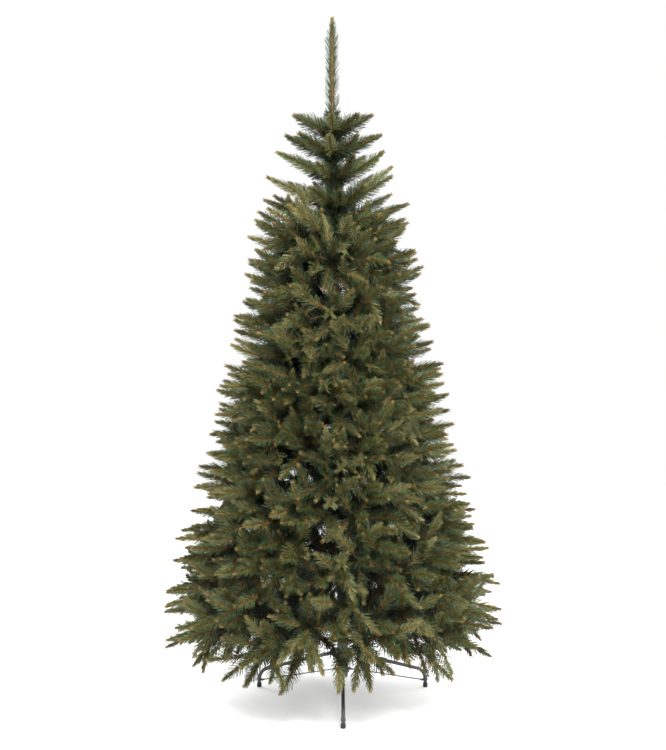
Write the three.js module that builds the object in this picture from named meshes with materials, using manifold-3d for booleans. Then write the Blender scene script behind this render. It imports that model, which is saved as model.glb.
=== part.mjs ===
// An artificial spruce on a folding three-legged stand. Millimetres, +Z up, the front faces -Y.
// The origin is on the floor straight below the leader. The pole leans a little, so the stand is to the
// right of it.
import * as THREE from "three";
import { ConvexHull } from "three/addons/math/ConvexHull.js";
import { mergeVertices } from "three/addons/utils/BufferGeometryUtils.js";
import Module from "manifold-3d";

const wasm = await Module();
wasm.setup();

// ---------------------------------------------------------------- driving sizes

const CLEAR = 0.4; // gap between neighbouring solids
const PAST = 20; // how far a cutting shape runs past what it cuts
const SIDES = 16; // of the pole and of what stands round it

const STAND_X = 28; // the upright stand is this far right of the leader
const STAND_MIDDLE = 120; // and centred on the leaning pole at this height
const POLE_TOP = 1540;
const POLE_LEAN = STAND_X / (POLE_TOP - STAND_MIDDLE);
const POLE_STEPS = [ // height, radius
  [70, 10.4], [620, 10.4],
  [620.1, 9.4], [1180, 9.2],
  [1180.1, 8], [POLE_TOP, 6.6],
];

const TUBE = { low: 64, high: 176, inner: 12, outer: 14.1 };
const HUB = { low: 114, high: 140, inner: 14.6, outer: 18 };
const COLLAR = { low: 76, high: 88, inner: 14.6, outer: 17.6 };
const CHEEK = { length: 19, gap: 8.2, thick: 2.6, height: 18, middle: 23.5 };
const PIVOT = { radius: 27.5, height: 125.5, pin: 2, proud: 0.5, bore: 2.5 };
const LUG = { length: 7, width: 5, height: 8, bite: 2 };
const EYE = { length: 24, behind: 7, width: 7.4, height: 10.4 }; // the leg's flat end, round its pivot
const LEG = { azimuths: { front: -90, right: 30, left: 150 }, r: 4.9, sides: 8, steps: 14 };
const LEG_LINE = [ // radius, height, from the pivot to the foot
  [27, 125.5], [236, 56.5], [247, 51.5], [255.5, 44], [262, 33], [264, 20], [264, 5],
];
const CAP = { radius: 6.6, height: 12, floor: 4.6, edge: 1, sides: 12 };
const BRACE = { r: 1.5, leg: [258, 20.8] }; // rod radius; where it meets the leg

const SPRAY = { length: 132, width: 28, core: 3.4, neck: 0.19, longestNeck: 30 };
// Rings of a spray: place as a share of its needled run, core as a share of the spray's, and the
// needles' reach and lean as shares of its width.
const LONG_RINGS = [
  { place: 0, core: 1, reach: 1, lean: 0.8 },
  { place: 0.36, core: 0.9, reach: 0.92, lean: 0.72 },
  { place: 0.72, core: 0.75 },
  { place: 1 },
];
const SHORT_RINGS = [
  { place: 0, core: 1, reach: 1, lean: 0.8 },
  { place: 0.5, core: 0.85, reach: 0.75, lean: 0.4 },
  { place: 1 },
];
const WOUND = { width: 24, long: 125 }; // sprays of a whorl, and from which length they have the long rings
const LEADER = { top: 1800, width: 18, core: 3.6, thin: 2.7, whorls: 11, fading: 4.5, lean: 17, lastLean: 8 };
const SLEEVE = { sides: 8, outer: 12.5, reach: 19, lean: 9 };
const STEM_R = 4.6;
const STEM_SIDES = 5;
const TWIG_R = 3.6;
const BUD = 8.5; // half the size of the knot at a branch end
const FORK = 15; // and of the knot where a stem forks
const FORK_AT = { 2: 0.5, 3: 0.42 }; // place of that knot as a share of the branch, by how many ends it has

// How far the tips reach from the upright, by height.
const REACH = [
  [60, 250], [97, 340], [129, 430], [162, 446], [211, 468], [275, 446], [324, 440], [388, 414],
  [420, 414], [469, 402], [533, 370], [600, 362], [653, 338], [750, 318], [820, 302], [915, 290],
  [1010, 256], [1073, 242], [1152, 235], [1230, 224], [1290, 202],
];

// Whorls wound on the pole: where the sprays root, the sleeve's ends, and each spray's azimuth, reach, rise.
const WHORLS = [
  {
    root: 1492, low: 1467, high: POLE_TOP - 1,
    sprays: [
      [190, 103, 58], [158, 99, 60], [115, 96, 55], [269, 95, 50],
      [312, 105, 54], [28, 98, 60], [352, 108, 58], [78, 92, 56],
    ],
  },
  {
    root: 1438, low: 1410, high: 1466,
    sprays: [
      [183, 124, 60], [222, 118, 60], [110, 98, 50], [265, 105, 52], [303, 123, 55],
      [355, 131, 60], [30, 122, 62], [150, 118, 58], [74, 112, 58],
    ],
  },
  {
    root: 1377, low: 1340, high: 1409,
    sprays: [
      [186, 147, 76], [140, 118, 64], [242, 88, 45], [352, 137, 78],
      [300, 113, 64], [45, 124, 72], [96, 118, 66], [18, 128, 60],
    ],
  },
  {
    root: 1303, low: 1276, high: 1339,
    sprays: [
      [184, 172, 86], [150, 134, 76], [235, 108, 56], [280, 111, 48], [75, 108, 76],
      [314, 124, 62], [16, 165, 116], [351, 160, 88], [43, 150, 96], [112, 132, 78],
    ],
  },
  {
    root: 1246, low: 1216, high: 1275,
    sprays: [
      [183, 180, 84], [158, 168, 98], [212, 124, 70], [255, 104, 34], [304, 114, 46], [333, 138, 44],
      [29, 182, 102], [0, 202, 74], [70, 150, 80], [105, 146, 82], [135, 152, 76],
    ],
  },
];

// Branch tiers, from the top: height of the star-shaped branch ends and how far they swing up and down,
// branches, azimuth of the first, ends on each, slope of the stem and of the leading spray in degrees.
const TIERS = [
  { ends: 1188, swing: 20, branches: 4, phase: 250, forks: 2, stem: 27, lead: 27 },
  { ends: 1066, swing: 22, branches: 4, phase: 205, forks: 2, stem: 24, lead: 22 },
  { ends: 940, swing: 24, branches: 5, phase: 268, forks: 2, stem: 22, lead: 17 },
  { ends: 812, swing: 26, branches: 5, phase: 232, forks: 3, stem: 19, lead: 12 },
  { ends: 680, swing: 27, branches: 5, phase: 270, forks: 3, stem: 16, lead: 8 },
  { ends: 545, swing: 28, branches: 5, phase: 234, forks: 3, stem: 13, lead: 4 },
  { ends: 408, swing: 28, branches: 6, phase: 268, forks: 3, stem: 10, lead: 0 },
  { ends: 252, swing: 34, branches: 6, phase: 240, forks: 3, stem: 6, lead: -10 },
];
const RISE = { 2: [1, -1], 3: [0.6, -1, 0.6] }; // how the ends of a branch share the tier's swing
const FAN = 0.98; // share of a branch's sector that its ends spread over
const LOOSE = { branch: 4, end: 3, height: 6, tilt: 4, reach: 9, turn: 12 }; // give or take, in degrees or mm
const SIDE_SPRAYS = { count: 5, shortest: 0.84, longest: 0.96 }; // lengths as shares of the leading one's
const LOWEST_TIP = 100;
const MOST_SPRAYS = 3; // solid ones at an end
const OPENING = 57; // least angle between two of them, in degrees
const WIDEST = 66; // and the most a side spray opens from the leading one
const BODY = [0.4, 0.82]; // the part of a spray's length that is full width
// Least distances: between two bodies, a body and any other line, and any two lines.
const APART = { bodies: 52, body: 32, lines: 12 };

// ---------------------------------------------------------------- small helpers

const rad = THREE.MathUtils.degToRad;
const vec = (x, y, z) => new THREE.Vector3(x, y, z);
const polar = (r, azimuth, z) => vec(r * Math.cos(rad(azimuth)), r * Math.sin(rad(azimuth)), z);

// The size a table of heights and sizes gives at a height.
function table(rows, z) {
  const next = rows.findIndex(([height]) => height >= z);
  if (next < 0) return rows[rows.length - 1][1];
  if (next === 0) return rows[0][1];
  const [z0, r0] = rows[next - 1];
  const [z1, r1] = rows[next];
  return r0 + ((r1 - r0) * (z - z0)) / (z1 - z0);
}

const poleX = (z) => POLE_LEAN * (POLE_TOP - z);
const poleR = (z) => table(POLE_STEPS, z);

// A small generator of numbers that any language can repeat.
function generator(seed) {
  let state = seed >>> 0;
  return (low, high) => {
    state = (state + 0x6d2b79f5) >>> 0;
    let t = Math.imul(state ^ (state >>> 15), state | 1);
    t ^= t + Math.imul(t ^ (t >>> 7), t | 61);
    return low + ((high - low) * ((t ^ (t >>> 14)) >>> 0)) / 4294967296;
  };
}

// Two directions square to a limb's own.
function across(dir) {
  const u = vec(0, 0, 1).cross(dir);
  if (u.length() < 1e-3) u.set(1, 0, 0);
  u.normalize();
  return [u, dir.clone().cross(u)];
}

// Shortest distance between two straight lines with ends.
function distance([p, q], [r, s]) {
  const a = q.clone().sub(p);
  const b = s.clone().sub(r);
  const c = p.clone().sub(r);
  const [aa, bb, ab, ac, bc] = [a.dot(a), b.dot(b), a.dot(b), a.dot(c), b.dot(c)];
  const square = aa * bb - ab * ab;
  let t = square > 1e-6 ? THREE.MathUtils.clamp((ab * bc - ac * bb) / square, 0, 1) : 0;
  const w = THREE.MathUtils.clamp((ab * t + bc) / bb, 0, 1);
  t = THREE.MathUtils.clamp((ab * w - ac) / aa, 0, 1);
  return c.addScaledVector(a, t).addScaledVector(b, -w).length();
}

// ---------------------------------------------------------------- solids

function solidOf(geometry) {
  const bare = geometry.index ? geometry.toNonIndexed() : geometry.clone();
  for (const name of Object.keys(bare.attributes)) if (name !== "position") bare.deleteAttribute(name);
  const merged = mergeVertices(bare, 1e-3);
  return new wasm.Manifold(new wasm.Mesh({
    numProp: 3,
    vertProperties: merged.attributes.position.array,
    triVerts: new Uint32Array(merged.index.array),
  }));
}

function geometryOf(solid) {
  const { numProp, numVert, vertProperties, triVerts } = solid.getMesh();
  const positions = new Float32Array(numVert * 3);
  for (let i = 0; i < numVert; i++) {
    positions.set(vertProperties.subarray(i * numProp, i * numProp + 3), i * 3);
  }
  const geometry = new THREE.BufferGeometry();
  geometry.setAttribute("position", new THREE.BufferAttribute(positions, 3));
  geometry.setIndex(new THREE.BufferAttribute(triVerts, 1));
  geometry.computeVertexNormals();
  return geometry;
}

// A closed profile of radii and heights turned round Z.
function turned(profile, sides = SIDES) {
  const points = profile.map(([r, z]) => new THREE.Vector2(r, z));
  return new THREE.LatheGeometry(points, sides).rotateX(Math.PI / 2);
}

const pipe = ({ inner, outer, low, high }) =>
  turned([[inner, low], [outer, low], [outer, high], [inner, high], [inner, low]]);
const drum = (r, low, high, sides = SIDES) => turned([[0, low], [r, low], [r, high], [0, high]], sides);
const block = (x, y, z) => new THREE.BoxGeometry(x, y, z);

// A bar along a line through points.
function bar(points, r, steps) {
  const section = new THREE.Shape();
  section.absarc(0, 0, r, 0, 2 * Math.PI);
  const extrudePath = points.length > 2
    ? new THREE.CatmullRomCurve3(points, false, "centripetal")
    : new THREE.LineCurve3(...points);
  const curveSegments = LEG.sides / 2;
  return new THREE.ExtrudeGeometry(section, { steps, curveSegments, bevelEnabled: false, extrudePath });
}

const PAINT = {
  metal: { color: 0x3b3d3b, roughness: 0.45, metalness: 0.3 },
  rubber: { color: 0x1d1d1c, roughness: 0.85, metalness: 0 },
  pole: { color: 0x2f3a26, roughness: 0.6, metalness: 0.3 },
  needles: { color: 0x3e4f2c, roughness: 0.8, metalness: 0 },
  leader: { color: 0x5d5a37, roughness: 0.8, metalness: 0 },
};

function mesh(name, geometry, paint) {
  const part = new THREE.Mesh(geometry, new THREE.MeshStandardMaterial(PAINT[paint]));
  part.name = name;
  return part;
}

// ---------------------------------------------------------------- pole and stand

function pole() {
  const profile = [[0, POLE_STEPS[0][0]], ...POLE_STEPS.map(([z, r]) => [r, z]), [0, POLE_TOP]];
  const part = mesh("pole", turned(profile), "pole");
  part.position.x = poleX(0);
  part.rotation.y = -Math.atan(POLE_LEAN);
  return part;
}

const swung = (geometry, azimuth) => geometry.rotateZ(rad(azimuth));
const azimuths = Object.values(LEG.azimuths);

// The hub carries each leg's eye between two cheeks, on a pin through both.
function hub() {
  let solid = solidOf(pipe(HUB));
  const bore = solidOf(drum(HUB.inner, HUB.low - PAST, HUB.high + PAST));
  const span = CHEEK.gap + 2 * (CHEEK.thick + PIVOT.proud);
  for (const azimuth of azimuths) {
    for (const side of [-1, 1]) {
      const cheek = block(CHEEK.length, CHEEK.thick, CHEEK.height)
        .translate(CHEEK.middle, (side * (CHEEK.gap + CHEEK.thick)) / 2, PIVOT.height);
      solid = solid.add(solidOf(swung(cheek, azimuth)).subtract(bore));
    }
    const pin = new THREE.CylinderGeometry(PIVOT.pin, PIVOT.pin, span, 6)
      .translate(PIVOT.radius, 0, PIVOT.height);
    solid = solid.add(solidOf(swung(pin, azimuth)));
  }
  return mesh("stand_hub", geometryOf(solid), "metal");
}

// The braces meet in the collar's lugs.
function collar() {
  let solid = solidOf(pipe(COLLAR));
  const bore = solidOf(drum(COLLAR.inner, COLLAR.low - PAST, COLLAR.high + PAST));
  for (const azimuth of azimuths) {
    const lug = block(LUG.length, LUG.width, LUG.height)
      .translate(COLLAR.outer - LUG.bite + LUG.length / 2, 0, (COLLAR.low + COLLAR.high) / 2);
    solid = solid.add(solidOf(swung(lug, azimuth)).subtract(bore));
  }
  return mesh("stand_collar", geometryOf(solid), "metal");
}

// One leg, folded out along +X: a flat eye on the pivot, the straight run and the bend down to the foot.
function leg() {
  const run = solidOf(bar(LEG_LINE.map(([r, z]) => vec(r, 0, z)), LEG.r, LEG.steps));
  const [p, q] = LEG_LINE;
  const slope = Math.atan2(p[1] - q[1], q[0] - p[0]);
  const { length, behind, width, height } = EYE;
  const shift = (s) => [PIVOT.radius + s * Math.cos(slope), 0, PIVOT.height - s * Math.sin(slope)];
  const round = block(length, 2 * width, 2 * height).rotateY(slope).translate(...shift(0));
  const eye = block(length, width, height).rotateY(slope).translate(...shift(length / 2 - behind));
  const bore = new THREE.CylinderGeometry(PIVOT.bore, PIVOT.bore, width + PAST, 8)
    .translate(PIVOT.radius, 0, PIVOT.height);
  const hubRoom = drum(HUB.outer + 1, HUB.low - PAST, HUB.high + PAST);
  const flattened = run.subtract(solidOf(round)).add(solidOf(eye));
  return geometryOf(flattened.subtract(solidOf(bore)).subtract(solidOf(hubRoom)));
}

function cap() {
  const { radius, height, floor, edge, sides } = CAP;
  const foot = LEG_LINE[LEG_LINE.length - 1][0];
  const outside = turned([[0, 0], [radius - edge, 0], [radius, edge], [radius, height], [0, height]], sides);
  const socket = drum(LEG.r + 2 * CLEAR, floor, height + PAST, sides);
  return geometryOf(solidOf(outside).subtract(solidOf(socket))).translate(foot, 0, 0);
}

function brace() {
  const inner = COLLAR.outer - LUG.bite + LUG.length + 2 * CLEAR;
  const [outer, height] = BRACE.leg;
  return bar([vec(inner, 0, (COLLAR.low + COLLAR.high) / 2), vec(outer, 0, height)], BRACE.r, 1);
}

function stand() {
  const group = new THREE.Group();
  group.position.x = STAND_X;
  group.add(mesh("stand_tube", pipe(TUBE), "metal"), hub(), collar());
  for (const [side, azimuth] of Object.entries(LEG.azimuths)) {
    const arm = new THREE.Group();
    arm.rotation.z = rad(azimuth);
    arm.add(mesh("leg_" + side, leg(), "metal"));
    arm.add(mesh("foot_cap_" + side, cap(), "rubber"));
    arm.add(mesh("brace_" + side, brace(), "metal"));
    group.add(arm);
  }
  return group;
}

// ---------------------------------------------------------------- needles

// A skin grown limb by limb: every limb starts on an open face of what is there already, so the whole is
// one closed surface without any cutting.
class Skin {
  points = [];
  faces = [];

  put(point) {
    return this.points.push(point) - 1;
  }

  ring(at, dir, r, sides, spin = 0) {
    const [u, v] = across(dir);
    return Array.from({ length: sides }, (_, i) => {
      const a = spin + (i * 2 * Math.PI) / sides;
      return this.put(at.clone().addScaledVector(u, Math.cos(a) * r).addScaledVector(v, Math.sin(a) * r));
    });
  }

  cap(ring) {
    for (let i = 1; i < ring.length - 1; i++) this.faces.push([ring[0], ring[i + 1], ring[i]]);
  }

  // Two rings with as many corners each, in the same order.
  tube(low, high) {
    low.forEach((a, i) => {
      const j = (i + 1) % low.length;
      this.faces.push([a, low[j], high[j]], [a, high[j], high[i]]);
    });
  }

  // The knot where limbs meet: the hull of their first rings, left open at each of them.
  knot(rings) {
    const ringOf = new Map();
    const indexOf = new Map();
    rings.forEach((ring, k) => ring.forEach((i) => {
      ringOf.set(this.points[i], k);
      indexOf.set(this.points[i], i);
    }));
    for (const face of new ConvexHull().setFromPoints([...ringOf.keys()]).faces) {
      const corners = [face.edge, face.edge.next, face.edge.prev].map((edge) => edge.head().point);
      const [a, b, c] = corners;
      if (ringOf.get(a) === ringOf.get(b) && ringOf.get(b) === ringOf.get(c)) continue;
      const normal = b.clone().sub(a).cross(c.clone().sub(a));
      const order = normal.dot(face.normal) > 0 ? [a, b, c] : [a, c, b];
      this.faces.push(order.map((corner) => indexOf.get(corner)));
    }
  }

  // A face, drawn out to a point that leans along dir where the stretch has a reach.
  needle([a, b, c], point) {
    if (point === null) {
      this.faces.push([a, b, c]);
      return;
    }
    const p = this.put(point);
    this.faces.push([a, b, p], [b, c, p], [c, a, p]);
  }

  // Rings along a limb, each turned half a step from the last, with needles between them. The last is
  // the tip.
  bristle(base, at, dir, rings, spin) {
    const [u, v] = across(dir);
    const sides = base.length;
    const step = (2 * Math.PI) / sides;
    const place = (s, r, turn) => at.clone().addScaledVector(dir, s)
      .addScaledVector(u, Math.cos(spin + turn * step) * r)
      .addScaledVector(v, Math.sin(spin + turn * step) * r);
    let low = base;
    rings.slice(0, -1).forEach((ring, k) => {
      const next = rings[k + 1];
      const last = k === rings.length - 2;
      const tip = last ? this.put(place(next.s, 0, 0)) : null;
      const corner = (_, i) => this.put(place(next.s, next.r, i + (k + 1) / 2));
      const high = last ? null : Array.from({ length: sides }, corner);
      const point = (share, turn) =>
        ring.reach ? place(ring.s + (next.s - ring.s) * share + ring.lean, ring.reach, turn) : null;
      for (let i = 0; i < sides; i++) {
        const j = (i + 1) % sides;
        this.needle([low[i], low[j], last ? tip : high[i]], point(1 / 3, i + k / 2 + 0.5));
        if (!last) this.needle([low[j], high[j], high[i]], point(2 / 3, i + k / 2 + 1));
      }
      low = high;
    });
  }

  // A spray on an open ring of three corners: a bare neck, one or two bristled stretches, the pointed end.
  spray(base, at, dir, length, width, full) {
    const [u, v] = across(dir);
    const first = this.points[base[0]].clone().sub(at);
    const spin = Math.atan2(first.dot(v), first.dot(u));
    const neck = Math.min(SPRAY.longestNeck, length * SPRAY.neck);
    const rings = (full ? LONG_RINGS : SHORT_RINGS).map(({ place, core, reach, lean }) => ({
      s: neck + (length - neck) * place,
      r: SPRAY.core * core,
      reach: reach && width * reach,
      lean: width * lean,
    }));
    const start = this.ring(at.clone().addScaledVector(dir, neck), dir, SPRAY.core, 3, spin);
    this.tube(base, start);
    this.bristle(start, at, dir, rings, spin);
  }

  middle([a, b, c]) {
    return this.points[a].clone().add(this.points[b]).add(this.points[c]).divideScalar(3);
  }

  geometry() {
    const positions = new Float32Array(this.points.flatMap((p) => p.toArray()));
    const geometry = new THREE.BufferGeometry();
    geometry.setAttribute("position", new THREE.BufferAttribute(positions, 3));
    geometry.setIndex(this.faces.flat());
    geometry.computeVertexNormals();
    return geometry;
  }
}

// ---------------------------------------------------------------- leader and whorls

function leader() {
  const foot = vec(0, 0, POLE_TOP + CLEAR);
  const up = vec(0, 0, 1);
  const length = LEADER.top - foot.z;
  const rings = Array.from({ length: LEADER.whorls }, (_, k) => {
    const left = LEADER.whorls - k;
    const fade = Math.min(1, left / LEADER.fading);
    const r = LEADER.thin + (LEADER.core - LEADER.thin) * fade;
    const s = length * (k / LEADER.whorls) ** 0.92;
    return { s, r, reach: LEADER.width * fade, lean: left === 1 ? LEADER.lastLean : LEADER.lean };
  });
  const skin = new Skin();
  const base = skin.ring(foot, up, LEADER.core, 3);
  skin.cap(base);
  skin.bristle(base, foot, up, [...rings, { s: length }], 0);
  return mesh("leader", skin.geometry(), "leader");
}

// A sleeve round the pole whose outer faces are each a needle or the root of a spray.
function whorl({ root, low, high, sprays }, number) {
  const skin = new Skin();
  const { sides, outer, reach, lean } = SLEEVE;
  const step = 360 / sides;
  const ring = (z, r, turn) => Array.from({ length: sides }, (_, i) => {
    const corner = polar(r, (i + turn) * step, z);
    corner.x += poleX(z);
    return skin.put(corner);
  });
  const inside = (z) => (poleR(z) + CLEAR) / Math.cos(rad(step / 2));
  const outerRings = [low, (low + high) / 2, high].map((z, k) => ring(z, outer, k / 2));
  const foot = ring(low, inside(low), 0);
  const head = ring(high, inside(high), 1);
  skin.tube(foot, outerRings[0]);
  skin.tube(outerRings[2], head);
  skin.tube(head, [...foot.slice(1), foot[0]]);

  const roots = outerRings.slice(0, 2).flatMap((lower, k) => lower.flatMap((a, i) => {
    const upper = outerRings[k + 1];
    const j = (i + 1) % sides;
    return [[a, lower[j], upper[i]], [lower[j], upper[j], upper[i]]];
  }));
  const taken = new Set();
  for (const [azimuth, out, rise] of sprays) {
    const wanted = polar(outer, azimuth, root);
    wanted.x += poleX(root);
    const free = roots.filter((face) => !taken.has(face));
    free.sort((a, b) => skin.middle(a).distanceTo(wanted) - skin.middle(b).distanceTo(wanted));
    const start = skin.middle(free[0]);
    const line = polar(out, azimuth, root + rise).sub(start);
    const length = line.length();
    taken.add(free[0]);
    skin.spray(free[0], start, line.normalize(), length, WOUND.width, length > WOUND.long);
  }
  for (const face of roots.filter((each) => !taken.has(each))) {
    const middle = skin.middle(face);
    const axis = vec(poleX(middle.z), 0, middle.z);
    const out = middle.sub(axis).normalize();
    axis.z = Math.min(axis.z + lean, high - 1);
    skin.needle(face, axis.addScaledVector(out, reach));
  }
  return mesh("whorl_" + number, skin.geometry(), "needles");
}

// ---------------------------------------------------------------- branches

// One branch: a stem from the pole to a fork, a twig to each star-shaped end, and a leading spray there
// with five more round it.
function grow(tier, index) {
  const draw = generator(tier.ends * 10 + index);
  const turn = 360 / tier.branches;
  const about = (size) => draw(-size, size);
  const azimuth = tier.phase + index * turn + about(LOOSE.branch);
  const slope = Math.tan(rad(tier.stem));
  const lead = rad(tier.lead);
  const middle = table(REACH, tier.ends + Math.sin(lead) * SPRAY.length) - Math.cos(lead) * SPRAY.length;
  const fork = middle * FORK_AT[tier.forks];
  const axis = poleX(tier.ends);
  const along = (r, az, z) => polar(r, az, z).add(vec(axis * Math.max(0, 1 - r / middle), 0, 0));
  const low = tier.ends - middle * slope;
  const widest = poleR(low - STEM_R - 1);
  const root = polar(widest + CLEAR, azimuth, low).add(vec(poleX(low), 0, 0));
  const crotch = along(fork, azimuth, tier.ends - (middle - fork) * slope);
  const flip = index % 2 ? -1 : 1;
  const ends = [];
  for (let k = 0; k < tier.forks; k++) {
    const side = k - (tier.forks - 1) / 2;
    const az = azimuth + (side * turn * FAN) / tier.forks + about(LOOSE.end);
    const z = tier.ends + flip * RISE[tier.forks][k] * tier.swing + about(LOOSE.height);
    const tilt = lead + rad(about(LOOSE.tilt));
    const tip = table(REACH, z + Math.sin(tilt) * SPRAY.length);
    const at = along(tip - Math.cos(tilt) * SPRAY.length - draw(0, LOOSE.reach), az, z);
    const out = polar(Math.cos(tilt), az, Math.sin(tilt));
    const [sideways, over] = across(out);
    const roll = draw(0, 360);
    const sprays = [{ at, dir: out, length: SPRAY.length }];
    for (let j = 0; j < SIDE_SPRAYS.count; j++) {
      const around = rad(roll + (j * 360) / SIDE_SPRAYS.count + about(LOOSE.turn));
      const open = rad(draw(OPENING + 1, WIDEST));
      const dir = out.clone().multiplyScalar(Math.cos(open))
        .addScaledVector(sideways, Math.cos(around) * Math.sin(open))
        .addScaledVector(over, Math.sin(around) * Math.sin(open));
      const length = SPRAY.length * draw(SIDE_SPRAYS.shortest, SIDE_SPRAYS.longest);
      sprays.push({ at, dir, length });
    }
    ends.push({ at, sprays });
  }
  return { root, crotch, ends };
}

const tipOf = ({ at, dir, length }) => at.clone().addScaledVector(dir, length);
const lineOf = (spray) => [spray.at, tipOf(spray)];
const bodyOf = ({ at, dir, length }) => BODY.map((share) => at.clone().addScaledVector(dir, length * share));
const allApart = (one, others, gap) => others.every((other) => distance(one, other) > gap);

// Of the sprays at each end the first is always a solid. Of the rest, those are that point well apart from it
// and keep clear of every stem, twig and spray there is already.
function chooseSolids(all) {
  const ends = all.flatMap(({ ends: own }) => own);
  const stems = all.map(({ root, crotch }) => [root, crotch]);
  const twigs = all.flatMap(({ crotch, ends: own }) => own.map((end) => ({ end, line: [crotch, end.at] })));
  const solids = ends.map((end) => ({ end, spray: end.sprays[0] }));
  const { root, sprays: wound } = WHORLS[WHORLS.length - 1];
  for (const [azimuth, out, rise] of wound) {
    const at = vec(poleX(root), 0, root);
    const line = polar(out, azimuth, root + rise).sub(at);
    solids.push({ spray: { at, length: line.length(), dir: line.normalize() } });
  }
  for (const end of ends) {
    const own = [end.sprays[0]];
    for (const spray of end.sprays.slice(1)) {
      const others = solids.filter((each) => each.end !== end).map((each) => each.spray);
      const wood = [...stems, ...twigs.filter((each) => each.end !== end).map((each) => each.line)];
      const clear = tipOf(spray).z > LOWEST_TIP
        && own.every((each) => each.dir.angleTo(spray.dir) > rad(OPENING))
        && allApart(lineOf(spray), [...wood, ...others.map(lineOf)], APART.lines)
        && allApart(bodyOf(spray), [...wood, ...others.map(lineOf)], APART.body)
        && others.every((each) => distance(lineOf(spray), bodyOf(each)) > APART.body)
        && allApart(bodyOf(spray), others.map(bodyOf), APART.bodies);
      if (!clear || own.length === MOST_SPRAYS) continue;
      own.push(spray);
      solids.push({ end, spray });
    }
    end.solids = own;
  }
}

function branchSkin(branch) {
  const skin = new Skin();
  const { root, crotch, ends } = branch;
  const flat = crotch.clone().sub(root).setZ(0).normalize();
  const on = crotch.clone().sub(root).normalize();
  const base = skin.ring(root, flat, STEM_R, STEM_SIDES);
  const under = skin.ring(crotch.clone().addScaledVector(on, -FORK), on, TWIG_R, STEM_SIDES);
  skin.cap(base);
  skin.tube(base, under);
  const twigs = ends.map((end) => {
    const dir = end.at.clone().sub(crotch).normalize();
    return { dir, low: skin.ring(crotch.clone().addScaledVector(dir, FORK), dir, TWIG_R, 3) };
  });
  skin.knot([under, ...twigs.map(({ low }) => low)]);
  ends.forEach((end, k) => {
    const { dir, low } = twigs[k];
    const high = skin.ring(end.at.clone().addScaledVector(dir, -BUD), dir, TWIG_R, 3);
    skin.tube(low, high);
    const bases = end.solids.map((spray) =>
      skin.ring(spray.at.clone().addScaledVector(spray.dir, BUD), spray.dir, SPRAY.core, 3));
    skin.knot([high, ...bases]);
    end.solids.forEach((spray, j) =>
      skin.spray(bases[j], spray.at, spray.dir, spray.length, SPRAY.width, j === 0));
  });
  return skin;
}

function branches() {
  const group = new THREE.Group();
  const all = TIERS.flatMap((tier, t) => Array.from({ length: tier.branches }, (_, index) =>
    ({ name: `tier_${t + 1}_branch_${index + 1}`, ...grow(tier, index) })));
  chooseSolids(all);
  group.add(...all.map((branch) => mesh(branch.name, branchSkin(branch).geometry(), "needles")));
  return group;
}

const tree = new THREE.Group();
tree.add(pole(), stand(), leader());
tree.add(...WHORLS.map((each, i) => whorl(each, i + 1)));
tree.add(branches());

export default tree;
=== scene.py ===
"""An undecorated artificial spruce on its folding stand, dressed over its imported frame.

Metres, +Z up, the front faces -Y. The rule the branches grow by is worked in millimetres, as in the frame,
and carried on here to every brush tip and needle.
"""
import math
import random
from collections import namedtuple

import bmesh
import bpy
from mathutils import Matrix, Vector
from mathutils.geometry import interpolate_bezier


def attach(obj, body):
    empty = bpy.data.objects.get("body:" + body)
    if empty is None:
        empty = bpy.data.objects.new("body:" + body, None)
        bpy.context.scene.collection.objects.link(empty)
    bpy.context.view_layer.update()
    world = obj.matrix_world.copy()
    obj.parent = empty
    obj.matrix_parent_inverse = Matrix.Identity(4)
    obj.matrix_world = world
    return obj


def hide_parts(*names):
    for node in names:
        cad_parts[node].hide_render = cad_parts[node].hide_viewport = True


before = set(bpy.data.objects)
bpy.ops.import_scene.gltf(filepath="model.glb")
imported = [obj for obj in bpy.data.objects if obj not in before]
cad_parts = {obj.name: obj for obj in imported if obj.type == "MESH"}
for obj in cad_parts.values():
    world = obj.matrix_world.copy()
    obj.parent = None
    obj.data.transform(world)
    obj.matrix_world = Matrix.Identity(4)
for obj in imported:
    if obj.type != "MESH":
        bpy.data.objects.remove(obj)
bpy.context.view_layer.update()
MM = 0.001

# ---------------------------------------------------------------- sizes, in millimetres

CLEAR = 0.4  # between a branch's root and the pole
STAND_X = 28
STAND_MIDDLE = 120
POLE_FOOT = 70
POLE_TOP = 1540
POLE_LEAN = STAND_X / (POLE_TOP - STAND_MIDDLE)
POLE_JOINTS = [(620, 10.4), (1180, 9.2)]  # height, and the lower section's radius there
# The groove and then the rim below a joint: height from the joint, and how proud of the section.
POLE_JOINT = [(-26, 0), (-25, -0.5), (-23, -0.5), (-22, 0), (-3, 0), (-2, 0.5), (-0.6, 0.5), (-0.1, 0)]
POLE_STEPS = [(POLE_FOOT, 10.4), (620, 10.4), (620.1, 9.4), (1180, 9.2), (1180.1, 8), (POLE_TOP, 6.6)]
WOUND_FROM = 1212  # where the needles wound on the pole begin
LEADER_TOP = 1800
STEM_R = 4.6  # of a branch at its root
SPRAY = 132  # the length of a brush tip
OPENING = 57  # the least between an end's leading tip and those round it, in degrees
LOWEST = 98  # the tips that are added to the frame's own end no lower

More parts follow.
